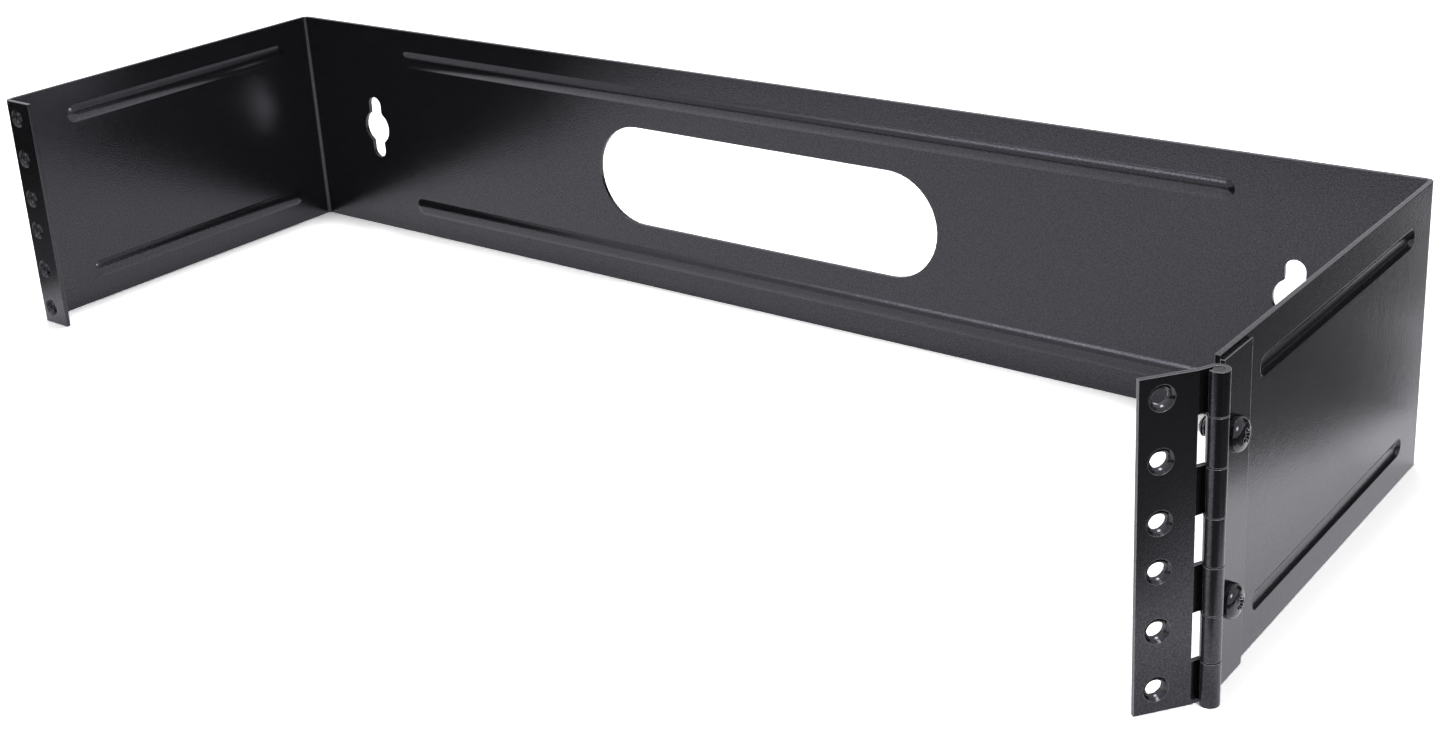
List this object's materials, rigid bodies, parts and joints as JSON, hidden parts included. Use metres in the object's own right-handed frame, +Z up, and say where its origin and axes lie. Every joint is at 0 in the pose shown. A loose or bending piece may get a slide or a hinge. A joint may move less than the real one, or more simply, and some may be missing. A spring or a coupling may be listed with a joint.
{
  "type": "hinged rack wall bracket",
  "caption": "U-shaped folded sheet wall bracket for rack equipment, with a flange of tapped holes on the left and a hinged leaf of tapped holes on the right.",
  "frame": {"origin": "centre of the back plate's wall face, at mid height", "axes": "X to the right seen from the front, Y towards the wall, Z up; the bracket stands at negative Y"},
  "size_m": [0.4889, 0.1661, 0.0888],
  "materials": {
    "powder_coat": "fine-grained semi-gloss black powder coat",
    "blackened_steel": "glossy black finish"
  },
  "bodies": {
    "bracket": {"wall_bracket": "powder_coat", "hinge_side_leaf": "powder_coat", "hinge_pin": "blackened_steel", "hinge_screw_upper": "blackened_steel", "hinge_screw_lower": "blackened_steel"},
    "front_leaf": {"hinge_front_leaf": "powder_coat"}
  },
  "joints": [
    {"name": "leaf_hinge", "type": "hinge", "parent": "bracket", "child": "front_leaf", "pos_m": [0.24386, -0.1509, 0], "axis": [0, 0, 1], "range_deg": [-53, 187]}
  ]
}
